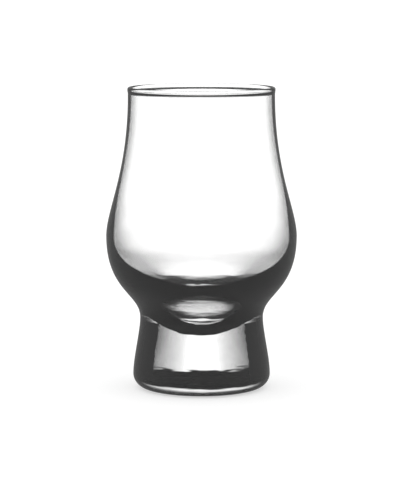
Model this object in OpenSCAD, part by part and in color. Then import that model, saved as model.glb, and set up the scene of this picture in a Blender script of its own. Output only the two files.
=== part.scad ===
// Whisky nosing glass, 110 mm tall: a blown bowl with a fire-polished rim, hot-fused
// into the dished top of a solid pressed foot. Both pieces are turned about the Z axis.
// Origin at the centre of the base, +Z up, millimetres.
//
// The outside passes through four stations where the glass runs upright: the mouth, the
// belly, the waist and the heel. The cavity has stations of its own: its mouth, its belly,
// a sloping flank low down, and its floor on the axis. A curve joins each station to the
// next. The foot ends at the waist, and the bowl's round bottom fills the foot's seat with
// no gap.

/* [Mouth] */
// Height of the rim above the table
total_h = 110; // [100:1:130]
// Radius of the outside just below the rim bead
mouth_r = 26.7; // [22:0.1:32]
// Thickness of the wall just below the rim bead
mouth_wall = 1.15; // [0.8:0.05:1.5]
// Radius of the rounded rim bead, seen in section
bead_r = 0.75; // [0.6:0.05:1.2]
// Height over which the wall swells into the bead
bead_swell_h = 1.8; // [1:0.1:4]

/* [Belly] */
// Radius of the outside at its widest
belly_r = 34.8; // [33:0.1:40]
// Height of the widest part above the table
belly_z = 55.7; // [48:0.1:68]

/* [Waist and seat] */
// Radius of the waist, where the bowl meets the foot
waist_r = 22.5; // [18:0.1:25]
// Height of the waist above the table
waist_z = 25.8; // [22:0.1:32]
// Thickness of the bowl under the cavity's lowest point
floor_wall = 3.5; // [2:0.1:6]

/* [Cavity] */
// Thickness of the wall where the cavity is widest
belly_wall = 2.5; // [1.5:0.1:5]
// Height of the cavity's widest part above the outside's
cavity_lift = 1.1; // [0:0.1:4]
// Radius of the cavity at its flank, where the round floor turns into the side
flank_r = 18.4; // [16:0.1:21]
// Height of the flank above the table
flank_z = 34.8; // [32:0.1:38]
// Slope of the cavity's wall at the flank, in degrees from level
flank_slope = 48.5; // [40:0.5:58]
// Height of the cavity's lowest point above the table
cavity_floor_z = 19.5; // [16:0.1:24]

/* [Foot] */
// Radius of the foot at its widest, just above the heel
foot_r = 25.1; // [23:0.1:32]
// Radius of the rounded lower edge
heel_r = 5.1; // [2:0.1:6]
// Width of the flat ring that the glass stands on
rest_ring_w = 1.5; // [1:0.1:6]
// Height of the hollow under the foot
kick_h = 2.1; // [0.5:0.1:3]

/* [Curves of the outside] */
// Share of a curve's height that the straight pull at one of its ends takes up
// Pull of the upper wall at the mouth
mouth_pull_share = 0.55; // [0.2:0.01:0.8]
// Pull of the upper wall at the belly
shoulder_pull_share = 0.19; // [0.1:0.01:0.5]
// Pull of the bowl's underside at the belly
belly_pull_share = 0.665; // [0.4:0.005:0.8]
// Pull of the bowl's underside at the waist
waist_pull_share = 0.3; // [0.1:0.01:0.4]
// Pull of the foot's side at the waist
foot_top_pull_share = 0.24; // [0.1:0.01:0.5]
// Pull of the foot's side at the heel
foot_low_pull_share = 0.27; // [0.1:0.01:0.5]

/* [Curves of the cavity] */
// The upper wall follows the outside's pulls. The other pulls are shares of the distance
// between the stations
// How much less of its height the upper wall's pull at the mouth takes up than the outside's
mouth_ease_share = 0.1; // [0:0.01:0.15]
// How much more of its height the upper wall's pull at the belly takes up than the outside's
shoulder_ease_share = 0.06; // [0:0.01:0.1]
// Pull of the lower side at the widest part
cavity_belly_pull_share = 0.51; // [0.2:0.01:0.7]
// Pull of the lower side at the flank
flank_top_pull_share = 0.31; // [0.1:0.01:0.5]
// Pull of the round floor at the flank
flank_low_pull_share = 0.45; // [0.1:0.01:0.6]
// Pull of the round floor at the axis
cavity_floor_pull_share = 0.44; // [0.1:0.01:0.6]

/* [Hidden] */
$fn = 144;
// Straight pieces in each curve of an outline
curve_steps = 20;
// Straight pieces in the small rounds of the bead and the heel
round_steps = 10;
// Pulls of the swell under the bead, at the wall and at the bead
swell_low_pull_share = 1 / 3;
swell_top_pull_share = 1 / 2;
glass_tint = [0.86, 0.92, 0.94, 0.45];
foot_tint = [0.78, 0.86, 0.9, 0.6];

// Stations of the outside, as radius and height
bead_z = total_h - bead_r;
neck_z = bead_z - bead_swell_h;
mouth_station = [mouth_r, neck_z];
belly_station = [belly_r, belly_z];
waist_station = [waist_r, waist_z];
heel_station = [foot_r, heel_r];

// Stations of the cavity
cavity_mouth_station = [mouth_r - mouth_wall, neck_z];
cavity_belly_station = [belly_r - belly_wall, belly_z + cavity_lift];
flank_station = [flank_r, flank_z];
floor_station = [0, cavity_floor_z];

// Ways in which a curve leaves or reaches a station
level = [1, 0];
upright = [0, 1];
flank_way = [cos(flank_slope), sin(flank_slope)];

// The bead sits astride the middle of the wall
bead_mid_r = mouth_r - mouth_wall / 2;
bead_out_station = [bead_mid_r + bead_r, bead_z];
bead_in_station = [bead_mid_r - bead_r, bead_z];

// Lowest point of the seat, and the inner edge of the ring that the glass stands on
seat_floor_z = cavity_floor_z - floor_wall;
rest_out_r = foot_r - heel_r;
rest_in_r = rest_out_r - rest_ring_w;

// A point on the cubic curve through a and d, with b and c as its pulls
function cubic(t, a, b, c, d) =
    (1 - t) ^ 3 * a + 3 * (1 - t) ^ 2 * t * b + 3 * (1 - t) * t ^ 2 * c + t ^ 3 * d;

// Wall curve from a low station to a high one, upright at both ends
function wall(low, high, low_share, high_share) =
    let (rise = high.y - low.y,
         low_pull = [low.x, low.y + low_share * rise],
         high_pull = [high.x, high.y - high_share * rise])
    [for (i = [0:curve_steps]) cubic(i / curve_steps, low, low_pull, high_pull, high)];

// Curve from a low station to a high one, which leaves and reaches them in given ways
function bend(low, low_way, low_share, high, high_way, high_share) =
    let (reach = norm(high - low),
         low_pull = low + low_share * reach * low_way,
         high_pull = high - high_share * reach * high_way)
    [for (i = [0:curve_steps]) cubic(i / curve_steps, low, low_pull, high_pull, high)];

// Round cap from the axis at height mid_z out to an edge point
function cap(mid_z, edge) =
    let (rise = edge.y - mid_z,
         cap_r = (edge.x ^ 2 + rise ^ 2) / (2 * rise),
         sweep = 2 * atan(rise / edge.x))
    [for (i = [0:curve_steps])
        let (a = sweep * i / curve_steps) [cap_r * sin(a), mid_z + cap_r * (1 - cos(a))]];

// Round of radius r about a centre, from one angle to another
function round_edge(centre, r, from, to) =
    [for (i = [0:round_steps])
        let (a = from + (to - from) * i / round_steps) centre + r * [cos(a), sin(a)]];

function backwards(points) = [for (i = [len(points) - 1:-1:0]) points[i]];

// The seat, which the bowl fills and the foot carries
seat_line = cap(seat_floor_z, waist_station);

bowl_outside = concat(
    wall(waist_station, belly_station, waist_pull_share, belly_pull_share),
    wall(belly_station, mouth_station, shoulder_pull_share, mouth_pull_share));

rim_bead = concat(
    wall(mouth_station, bead_out_station, swell_low_pull_share, swell_top_pull_share),
    round_edge([bead_mid_r, bead_z], bead_r, 0, 180),
    backwards(wall(cavity_mouth_station, bead_in_station,
                   swell_low_pull_share, swell_top_pull_share)));

cavity = concat(
    bend(floor_station, level, cavity_floor_pull_share,
         flank_station, flank_way, flank_low_pull_share),
    bend(flank_station, flank_way, flank_top_pull_share,
         cavity_belly_station, upright, cavity_belly_pull_share),
    wall(cavity_belly_station, cavity_mouth_station,
         shoulder_pull_share + shoulder_ease_share, mouth_pull_share - mouth_ease_share));

// Blown bowl: round bottom, full belly, tapered mouth and rim bead
module bowl()
    color(glass_tint)
    rotate_extrude()
    polygon(concat(seat_line, bowl_outside, rim_bead, backwards(cavity)));

// Pressed foot: solid, flared from the waist, hollowed a little underneath
module foot()
    color(foot_tint)
    rotate_extrude()
    polygon(concat(
        cap(kick_h, [rest_in_r, 0]),
        round_edge([rest_out_r, heel_r], heel_r, -90, 0),
        wall(heel_station, waist_station, foot_low_pull_share, foot_top_pull_share),
        backwards(seat_line)));

bowl();
foot();
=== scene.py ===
"""Looks of a whisky nosing glass: a clear blown bowl fused to a clear pressed foot.

Both pieces are spun round the Z axis from the same stations as the solids, in metres.
"""
import math

import bmesh
import bpy
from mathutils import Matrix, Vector


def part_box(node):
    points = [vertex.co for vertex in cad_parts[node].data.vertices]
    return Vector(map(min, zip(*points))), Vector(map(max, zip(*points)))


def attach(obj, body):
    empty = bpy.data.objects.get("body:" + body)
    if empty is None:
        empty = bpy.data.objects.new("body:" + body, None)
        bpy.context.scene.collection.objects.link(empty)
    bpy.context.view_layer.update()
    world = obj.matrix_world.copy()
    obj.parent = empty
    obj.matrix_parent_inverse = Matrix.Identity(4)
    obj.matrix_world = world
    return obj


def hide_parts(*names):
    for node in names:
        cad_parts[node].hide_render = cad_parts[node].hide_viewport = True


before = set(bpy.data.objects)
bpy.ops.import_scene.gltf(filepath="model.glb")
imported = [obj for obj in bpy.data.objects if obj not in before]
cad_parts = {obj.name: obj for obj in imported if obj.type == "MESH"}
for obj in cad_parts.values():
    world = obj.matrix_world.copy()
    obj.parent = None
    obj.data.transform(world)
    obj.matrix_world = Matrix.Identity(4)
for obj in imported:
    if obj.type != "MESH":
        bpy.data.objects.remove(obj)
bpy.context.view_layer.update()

# Sizes read from the frame
BOWL_LOW, BOWL_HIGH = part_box("bowl")
FOOT_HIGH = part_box("foot")[1]
RIM_Z = BOWL_HIGH.z
BELLY_R = BOWL_HIGH.x
WAIST_Z = FOOT_HIGH.z
FOOT_R = FOOT_HIGH.x
SEAT_FLOOR_Z = BOWL_LOW.z

# Mouth and rim bead
MOUTH_R = 0.0267
MOUTH_WALL = 0.00115
BEAD_R = 0.00075
BEAD_SWELL_H = 0.0018

# Belly and waist
BELLY_Z = 0.0557
WAIST_R = 0.0225

# Cavity
BELLY_WALL = 0.0025
CAVITY_LIFT = 0.0011
FLANK_R = 0.0184
FLANK_Z = 0.0348
FLANK_SLOPE = 48.5
CAVITY_FLOOR_Z = 0.0195

# Foot
HEEL_R = 0.0051
REST_RING_W = 0.0015
KICK_H = 0.0021

# How far each curve of the outside runs straight on from its ends, as a share of its height
MOUTH_PULL_SHARE = 0.55
SHOULDER_PULL_SHARE = 0.19
BELLY_PULL_SHARE = 0.665
WAIST_PULL_SHARE = 0.3
FOOT_TOP_PULL_SHARE = 0.24
FOOT_LOW_PULL_SHARE = 0.27
SWELL_LOW_PULL_SHARE = 1 / 3
SWELL_TOP_PULL_SHARE = 1 / 2

# The same for the cavity, where the lower pulls are shares of the stations' distance
CAVITY_MOUTH_PULL_SHARE = 0.45
CAVITY_SHOULDER_PULL_SHARE = 0.25
CAVITY_BELLY_PULL_SHARE = 0.51
FLANK_TOP_PULL_SHARE = 0.31
FLANK_LOW_PULL_SHARE = 0.45
CAVITY_FLOOR_PULL_SHARE = 0.44

# Fineness of the meshes
CURVE_STEPS = 44
ROUND_STEPS = 14
SPIN_STEPS = 192
MERGE_GAP = 0.000001

# Glass. The veil is the share of light that its faces scatter, the grey is painted shade that
# stands in for the unlit sides of the studio seen in it, and the bounces are how often light may
# turn in it.
GLASS_IOR = 1.52
GLASS_VEIL = 0.036
PAINTED_SHADE_GREY = (0.046, 0.046, 0.046, 1)
LIGHT_BOUNCES = 32

# How much painted grey shade the glass takes as it turns away from the eye. Facing is 0 face on
# and 1 edge on, and a shade that starts below 0 darkens faces met face on too. Each of the
# bowl's shades has a height, and the facing where it starts, its rise and its depth.
PLAIN_FACING_BLEND = 0.5
BOWL_SHADES = (
    (0.0280, (0.07, 0.51, 0.90)),  # just above the waist
    (0.0420, (0.02, 0.46, 0.55)),  # underside
    (0.0500, (0.15, 0.80, 0.95)),  # close under the belly
    (0.0580, (0.30, 0.70, 0.85)),  # belly
    (0.0720, (0.50, 0.45, 0.62)),  # shoulder
    (0.1074, (0.48, 0.47, 0.62)),  # mouth
    (0.1082, (-0.50, 0.60, 1.00)),  # lower half of the swell under the rim bead
    (0.1085, (-0.45, 0.60, 0.95)),  # its upper half
    (0.1090, (0.60, 0.43, 0.60)),  # rim bead
)

# The foot's painted shades have the facing where they start and where they are full. The soft one
# takes facing to a power, and the heel's own gives way to the others between two heights.
FOOT_SOFT_SHADE = (-0.08, 0.63)
FOOT_SOFT_POWER = 0.5
FOOT_SHARP_SHADE = (0.245, 0.27)
HEEL_SHADE = (0.32, 0.66)
HEEL_BLEND = (0.001, 0.006)

# The same inside the glass, where light leaves it, in painted black. The foot's underside, up to a
# height, is painted dark for light that leaves it at a slant, standing in for the foot's own shadow,
# and clear past that.
BOWL_INNER_SHADE = (0.24, 0.25)
FOOT_INNER_SHADE = (0.093, 0.24)
UNDERSIDE_SHADE = (0.09, 0.17)
UNDERSIDE_CLEARING = (0.40, 0.50)
UNDERSIDE_BLEND = (0.0022, 0.0030)

# Faint waves in the thick glass, as scale along X, Y and Z, detail, depth, and the heights
# between which they fade
WAVE_STRETCH = (70, 70, 240)
WAVE_DETAIL = 2
WAVE_DEPTH = 0.00025
WAVE_FADE = (0.030, 0.052)

# An eye that rises sees less of the unlit sides through the glass, and more of the pale floor. So
# faces are tilted up before their facing is read, and the painted shade draws back, so the glass
# clears. The loss gives back what the tilt takes at the camera's angle.
SHADE_TILT = 0.7
SHADE_TILT_LOSS = 0.085


def cubic(t, a, b, c, d):
    """A point on the cubic curve through a and d, with b and c as its pulls."""
    s = 1 - t
    return s ** 3 * a + 3 * s ** 2 * t * b + 3 * s * t ** 2 * c + t ** 3 * d


def curve(a, b, c, d):
    """The points of that curve."""
    return [cubic(i / CURVE_STEPS, a, b, c, d) for i in range(CURVE_STEPS + 1)]


def wall(low, high, low_share, high_share):
    """Wall curve from a low station to a high one, upright at both ends."""
    rise = Vector((0, high.y - low.y))
    return curve(low, low + low_share * rise, high - high_share * rise, high)


def bend(low, low_way, low_share, high, high_way, high_share):
    """Curve from a low station to a high one, which leaves and reaches them in given ways."""
    reach = (high - low).length
    return curve(low, low + low_share * reach * low_way, high - high_share * reach * high_way, high)


def cap(mid_z, edge):
    """Round cap from the axis at height mid_z out to an edge point."""
    rise = edge.y - mid_z
    cap_r = (edge.x ** 2 + rise ** 2) / (2 * rise)
    sweep = 2 * math.atan(rise / edge.x)
    angles = [sweep * i / CURVE_STEPS for i in range(CURVE_STEPS + 1)]
    return [Vector((cap_r * math.sin(a), mid_z + cap_r * (1 - math.cos(a)))) for a in angles]


def round_edge(centre, r, start, end):
    """Round of radius r about a centre, from one angle to another, in degrees."""
    angles = [math.radians(start + (end - start) * i / ROUND_STEPS) for i in range(ROUND_STEPS + 1)]
    return [centre + r * Vector((math.cos(a), math.sin(a))) for a in angles]


# Stations of the outline, as radius and height
BEAD_Z = RIM_Z - BEAD_R
NECK_Z = BEAD_Z - BEAD_SWELL_H
BEAD_MID_R = MOUTH_R - MOUTH_WALL / 2
MOUTH = Vector((MOUTH_R, NECK_Z))
BELLY = Vector((BELLY_R, BELLY_Z))
WAIST = Vector((WAIST_R, WAIST_Z))
HEEL = Vector((FOOT_R, HEEL_R))
CAVITY_MOUTH = Vector((MOUTH_R - MOUTH_WALL, NECK_Z))
CAVITY_BELLY = Vector((BELLY_R - BELLY_WALL, BELLY_Z + CAVITY_LIFT))
FLANK = Vector((FLANK_R, FLANK_Z))
CAVITY_FLOOR = Vector((0, CAVITY_FLOOR_Z))
REST_OUT_R = FOOT_R - HEEL_R
REST_IN_R = REST_OUT_R - REST_RING_W

# Ways in which a curve leaves or reaches a station
LEVEL = Vector((1, 0))
UPRIGHT = Vector((0, 1))
FLANK_WAY = Vector((math.cos(math.radians(FLANK_SLOPE)), math.sin(math.radians(FLANK_SLOPE))))


def rim_outline():
    """From the mouth up the swell, over the bead and down inside to the cavity's mouth."""
    shares = (SWELL_LOW_PULL_SHARE, SWELL_TOP_PULL_SHARE)
    out_side = wall(MOUTH, Vector((BEAD_MID_R + BEAD_R, BEAD_Z)), *shares)
    over = round_edge(Vector((BEAD_MID_R, BEAD_Z)), BEAD_R, 0, 180)
    in_side = wall(CAVITY_MOUTH, Vector((BEAD_MID_R - BEAD_R, BEAD_Z)), *shares)
    return out_side + over + in_side[::-1]


def cavity_outline():
    """From the cavity's floor on the axis, up its flank and belly to its mouth."""
    floor = bend(
        CAVITY_FLOOR, LEVEL, CAVITY_FLOOR_PULL_SHARE, FLANK, FLANK_WAY, FLANK_LOW_PULL_SHARE)
    side = bend(
        FLANK, FLANK_WAY, FLANK_TOP_PULL_SHARE, CAVITY_BELLY, UPRIGHT, CAVITY_BELLY_PULL_SHARE)
    shoulder = wall(
        CAVITY_BELLY, CAVITY_MOUTH, CAVITY_SHOULDER_PULL_SHARE, CAVITY_MOUTH_PULL_SHARE)
    return floor + side + shoulder


def bowl_outline():
    """From the waist up the outside, over the rim and down the cavity to the axis."""
    underside = wall(WAIST, BELLY, WAIST_PULL_SHARE, BELLY_PULL_SHARE)
    upper_side = wall(BELLY, MOUTH, SHOULDER_PULL_SHARE, MOUTH_PULL_SHARE)
    return underside + upper_side + rim_outline() + cavity_outline()[::-1]


def foot_outline():
    """From the axis along the hollow and the resting ring, round the heel and up to the waist."""
    kick = cap(KICK_H, Vector((REST_IN_R, 0)))
    heel = round_edge(Vector((REST_OUT_R, HEEL_R)), HEEL_R, -90, 0)
    return kick + heel + wall(HEEL, WAIST, FOOT_LOW_PULL_SHARE, FOOT_TOP_PULL_SHARE)


def linked_object(name, mesh, *materials):
    """Turns a bmesh into an object in the scene."""
    data = bpy.data.meshes.new(name)
    mesh.to_mesh(data)
    mesh.free()
    for material in materials:
        data.materials.append(material)
    made = bpy.data.objects.new(name, data)
    bpy.context.scene.collection.objects.link(made)
    return made


def spun(name, glass_line, seat_line, glass, seat):
    """Spins the glass line and the seat line round Z into one closed mesh, the seat as slot 1."""
    mesh = bmesh.new()
    for slot, line in enumerate((glass_line, seat_line)):
        verts = [mesh.verts.new((p.x, 0, p.y)) for p in line]
        edges = [mesh.edges.new(pair) for pair in zip(verts, verts[1:])]
        old_faces = set(mesh.faces)
        bmesh.ops.spin(
            mesh, geom=verts + edges, cent=(0, 0, 0), axis=(0, 0, 1), dvec=(0, 0, 0),
            angle=2 * math.pi, steps=SPIN_STEPS, use_merge=True)
        for face in set(mesh.faces) - old_faces:
            face.material_index = slot
            face.smooth = True
    bmesh.ops.remove_doubles(mesh, verts=mesh.verts[:], dist=MERGE_GAP)
    bmesh.ops.recalc_face_normals(mesh, faces=mesh.faces[:])
    for edge in mesh.edges:
        if len({face.material_index for face in edge.link_faces}) > 1:
            edge.smooth = False
    return linked_object(name, mesh, glass, seat)


class Value:
    """A number or vector on a shader socket that Python's operators work on."""

    def __init__(self, graph, socket):
        self.graph = graph
        self.socket = socket

    def out(self, name):
        """Another output of the node that this value comes from."""
        return Value(self.graph, self.socket.node.outputs[name])

    def math(self, operation, first, second):
        return self.graph.node("ShaderNodeMath", {"operation": operation}, {0: first, 1: second})

    def __add__(self, other):
        return self.math("ADD", self, other)

    def __sub__(self, other):
        return self.math("SUBTRACT", self, other)

    def __rsub__(self, other):
        return self.math("SUBTRACT", other, self)

    def __mul__(self, other):
        return self.math("MULTIPLY", self, other)

    def __truediv__(self, other):
        return self.math("DIVIDE", self, other)

    def __pow__(self, other):
        return self.math("POWER", self, other)

    __radd__ = __add__
    __rmul__ = __mul__


class Graph:
    """Adds nodes to one node tree."""

    def __init__(self, tree):
        self.tree = tree
        tree.nodes.clear()

    def node(self, kind, settings=None, inputs=None, output=0):
        """One node: its settings first, then its sockets; gives back one output."""
        made = self.tree.nodes.new(kind)
        for name, value in (settings or {}).items():
            setattr(made, name, value)
        for name, value in (inputs or {}).items():
            if isinstance(value, Value):
                self.tree.links.new(value.socket, made.inputs[name])
            else:
                made.inputs[name].default_value = value
        return Value(self, made.outputs[output]) if made.outputs else made

    def ramp(self, value, low, high, way="SMOOTHSTEP"):
        """Rises from 0 to 1 as value goes from low to high."""
        return self.node(
            "ShaderNodeMapRange", {"interpolation_type": way},
            {"Value": value, "From Min": low, "From Max": high})

    def profile(self, height, stops):
        """A number that goes smoothly from stop to stop, each a height in metres and a number."""
        value = stops[0][1]
        for (low, before), (high, after) in zip(stops, stops[1:]):
            value = value + self.ramp(height, low, high) * (after - before)
        return value


def new_material(name):
    material = bpy.data.materials.new(name)
    material.use_nodes = True
    return material, Graph(material.node_tree)


def bowl_side_shade(graph, facing, height):
    """Painted grey shade for the unlit sides on the bowl's outward faces, from facing and height."""
    start, rise, depth = (
        graph.profile(height, [(z, shade[i]) for z, shade in BOWL_SHADES]) for i in range(3))
    return depth * graph.ramp((facing - start) / rise, 0, 1)


def foot_side_shade(graph, facing, height):
    """The same painted shade for the foot: a soft fall of light up to a sharp edge, and the heel's
    own.
    """
    soft = graph.ramp(facing ** FOOT_SOFT_POWER, *FOOT_SOFT_SHADE, "LINEAR")
    upright = 1 - (1 - soft) * (1 - graph.ramp(facing, *FOOT_SHARP_SHADE))
    heel = graph.ramp(facing, *HEEL_SHADE)
    return heel + (upright - heel) * graph.ramp(height, *HEEL_BLEND)


def bowl_inner_shade(graph, facing, height):
    """Share of painted black on the bowl's faces met from inside the glass, alike at any height."""
    return graph.ramp(facing, *BOWL_INNER_SHADE)


def foot_inner_shade(graph, facing, height):
    """The same painted black for the foot, with a painted shadow of its own on the underside."""
    flank = graph.ramp(facing, *FOOT_INNER_SHADE)
    slanted = graph.ramp(facing, *UNDERSIDE_SHADE)
    underside = slanted * (1 - graph.ramp(facing, *UNDERSIDE_CLEARING))
    return underside + (flank - underside) * graph.ramp(height, *UNDERSIDE_BLEND)


def waves(graph, place, height):
    """Normals with the waves that blowing and pressing leave in the glass low down."""
    stretched = graph.node("ShaderNodeMapping", inputs={"Vector": place, "Scale": WAVE_STRETCH})
    noise = graph.node(
        "ShaderNodeTexNoise", inputs={"Vector": stretched, "Scale": 1, "Detail": WAVE_DETAIL})
    return graph.node("ShaderNodeBump", inputs={
        "Strength": 1, "Distance": WAVE_DEPTH,
        "Height": noise * (1 - graph.ramp(height, *WAVE_FADE))})


def tilted_facing(graph, normal):
    """How far a face turns away from the eye, 0 face on and 1 edge on, once it is tilted up."""
    tilted = graph.node(
        "ShaderNodeVectorMath", {"operation": "ADD"}, {0: normal, 1: (0, 0, SHADE_TILT)})
    length = graph.node("ShaderNodeVectorMath", {"operation": "LENGTH"}, {0: tilted}, "Value")
    way = graph.node("ShaderNodeVectorMath", {"operation": "NORMALIZE"}, {0: tilted})
    facing = graph.node("ShaderNodeLayerWeight", inputs={
        "Blend": PLAIN_FACING_BLEND, "Normal": way}, output="Facing")
    return 1 + SHADE_TILT_LOSS - (1 - facing) * length


def clear_glass(name, side_shade, inner_shade):
    """Clear glass with painted shade: grey at shallow angles for the studio's unlit sides, black
    inside.
    """
    material, graph = new_material(name)
    place = graph.node("ShaderNodeTexCoord", output="Object")
    height = graph.node("ShaderNodeSeparateXYZ", inputs={0: place}, output="Z")
    wavy = waves(graph, place, height)
    facing = graph.node(
        "ShaderNodeLayerWeight", inputs={"Blend": PLAIN_FACING_BLEND}, output="Facing")
    from_inside = graph.node("ShaderNodeNewGeometry", output="Backfacing")
    # Masks of painted shade: grey on outward faces and black on faces met from inside, by facing
    outer = side_shade(graph, tilted_facing(graph, wavy), height) * (1 - from_inside)
    inner = inner_shade(graph, facing, height) * from_inside
    clear = graph.node("ShaderNodeBsdfPrincipled", inputs={
        "Base Color": (1, 1, 1, 1), "Roughness": 0, "IOR": GLASS_IOR,
        "Transmission Weight": 1 - GLASS_VEIL, "Normal": wavy})
    # Painted grey shade, standing in for the studio's unlit sides seen through the glass
    side = graph.node("ShaderNodeBsdfPrincipled", inputs={
        "Base Color": PAINTED_SHADE_GREY, "Roughness": 0, "IOR": GLASS_IOR, "Normal": wavy})
    # Painted black shade, where light would leave the glass at a slant
    dark = graph.node("ShaderNodeBsdfPrincipled", inputs={
        "Base Color": (0, 0, 0, 1), "Roughness": 1, "Specular IOR Level": 0})
    outside = graph.node("ShaderNodeMixShader", inputs={0: outer, 1: clear, 2: side})
    surface = graph.node("ShaderNodeMixShader", inputs={0: inner, 1: outside, 2: dark})
    graph.node("ShaderNodeOutputMaterial", inputs={"Surface": surface})
    return material


def fused_face(name):
    """The joint between the two glasses, where light runs straight on."""
    material, graph = new_material(name)
    shader = graph.node("ShaderNodeBsdfPrincipled", inputs={
        "Base Color": (1, 1, 1, 1), "IOR": GLASS_IOR, "Alpha": 0})
    graph.node("ShaderNodeOutputMaterial", inputs={"Surface": shader})
    return material


# Camera, at the photograph's angle
CAMERA_PLACE = Vector((0, -0.8573, 0.1579))
CAMERA_AIM = Vector((0.0031, 0, 0.0523))
CAMERA_LENS = 173.7
CAMERA_SENSOR = 36
CAMERA_NEAR, CAMERA_FAR = 0.01, 100


def make_camera():
    data = bpy.data.cameras.new("camera")
    data.lens = CAMERA_LENS
    data.sensor_width = CAMERA_SENSOR
    data.clip_start = CAMERA_NEAR
    data.clip_end = CAMERA_FAR
    camera = bpy.data.objects.new("camera", data)
    camera.location = CAMERA_PLACE
    camera.rotation_mode = "QUATERNION"
    camera.rotation_quaternion = (CAMERA_AIM - CAMERA_PLACE).to_track_quat("-Z", "Y")
    bpy.context.scene.collection.objects.link(camera)
    bpy.context.scene.camera = camera


# Studio, in degrees above the horizon. Through the glass it is dark straight down, bright all
# round from there up to the horizon, dark above it, and bright again overhead. Each fade has its
# start and its end. Reflections see the shine, and everything else sees the level.
HORIZON_GLOW = 1.35
HORIZON_LOW_FADE = (-78, -50)
HORIZON_HIGH_FADE = (3, 11)
OVERHEAD_GLOW = 1.0
OVERHEAD_RISE = (30, 45)
STUDIO_LEVEL = 1.0
STUDIO_SHINE = 0.22


def make_world():
    world = bpy.data.worlds.new("studio")
    world.use_nodes = True
    bpy.context.scene.world = world
    graph = Graph(world.node_tree)
    direction = graph.node("ShaderNodeTexCoord", output="Generated")
    rise = graph.node("ShaderNodeSeparateXYZ", inputs={0: direction}, output="Z")
    up = graph.node("ShaderNodeMath", {"operation": "ARCSINE"}, {0: rise})
    low, high, overhead = (
        graph.ramp(up, *(math.radians(a) for a in fade))
        for fade in (HORIZON_LOW_FADE, HORIZON_HIGH_FADE, OVERHEAD_RISE))
    bright = HORIZON_GLOW * low * (1 - high) + OVERHEAD_GLOW * overhead
    through = graph.node("ShaderNodeLightPath", output="Is Transmission Ray")
    mirrored = through.out("Is Glossy Ray")
    around = mirrored * STUDIO_SHINE + (1 - mirrored) * STUDIO_LEVEL
    level = through * bright + (1 - through) * around
    surface = graph.node("ShaderNodeBackground", inputs={"Color": (1, 1, 1, 1), "Strength": level})
    graph.node("ShaderNodeOutputWorld", inputs={"Surface": surface})


# Floor, just under the resting ring. Its own light, which only the camera sees, lifts it to white.
FLOOR_HALF = 12.0
FLOOR_DROP = 0.0002
FLOOR_COLOUR = (0.6, 0.6, 0.6, 1)
FLOOR_WHITE = 0.55


def floor_paint():
    """Pale, with the glass's shadow; light in the glass passes it to the studio's own pale floor."""
    material, graph = new_material("floor")
    camera_ray = graph.node("ShaderNodeLightPath", output="Is Camera Ray")
    matt = graph.node("ShaderNodeBsdfDiffuse", inputs={"Color": FLOOR_COLOUR})
    white = graph.node("ShaderNodeEmission", inputs={"Strength": camera_ray * FLOOR_WHITE})
    lit = graph.node("ShaderNodeAddShader", inputs={0: matt, 1: white})
    clear = graph.node("ShaderNodeBsdfTransparent")
    in_glass = camera_ray.out("Is Transmission Ray") + camera_ray.out("Is Glossy Ray")
    surface = graph.node("ShaderNodeMixShader", inputs={0: in_glass, 1: lit, 2: clear})
    graph.node("ShaderNodeOutputMaterial", inputs={"Surface": surface})
    return material


def make_floor():
    mesh = bmesh.new()
    bmesh.ops.create_grid(mesh, x_segments=1, y_segments=1, size=FLOOR_HALF)
    bmesh.ops.translate(mesh, verts=mesh.verts[:], vec=(0, 0, -FLOOR_DROP))
    linked_object("floor", mesh, floor_paint())


def make_glass():
    seat_line = cap(SEAT_FLOOR_Z, WAIST)
    seat = fused_face("fused_seat")
    bowl_glass = clear_glass("bowl_glass", bowl_side_shade, bowl_inner_shade)
    foot_glass = clear_glass("foot_glass", foot_side_shade, foot_inner_shade)
    bowl = spun("blown_bowl", bowl_outline(), seat_line, bowl_glass, seat)
    foot = spun("pressed_foot", foot_outline(), seat_line, foot_glass, seat)
    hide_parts("bowl")
    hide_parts("foot")
    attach(bowl, "root")
    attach(foot, "root")


make_camera()
make_world()
make_floor()
make_glass()

scene = bpy.context.scene
scene.view_settings.view_transform = "Standard"
scene.cycles.max_bounces = LIGHT_BOUNCES
scene.cycles.transmission_bounces = LIGHT_BOUNCES
scene.cycles.glossy_bounces = LIGHT_BOUNCES
scene.cycles.transparent_max_bounces = LIGHT_BOUNCES
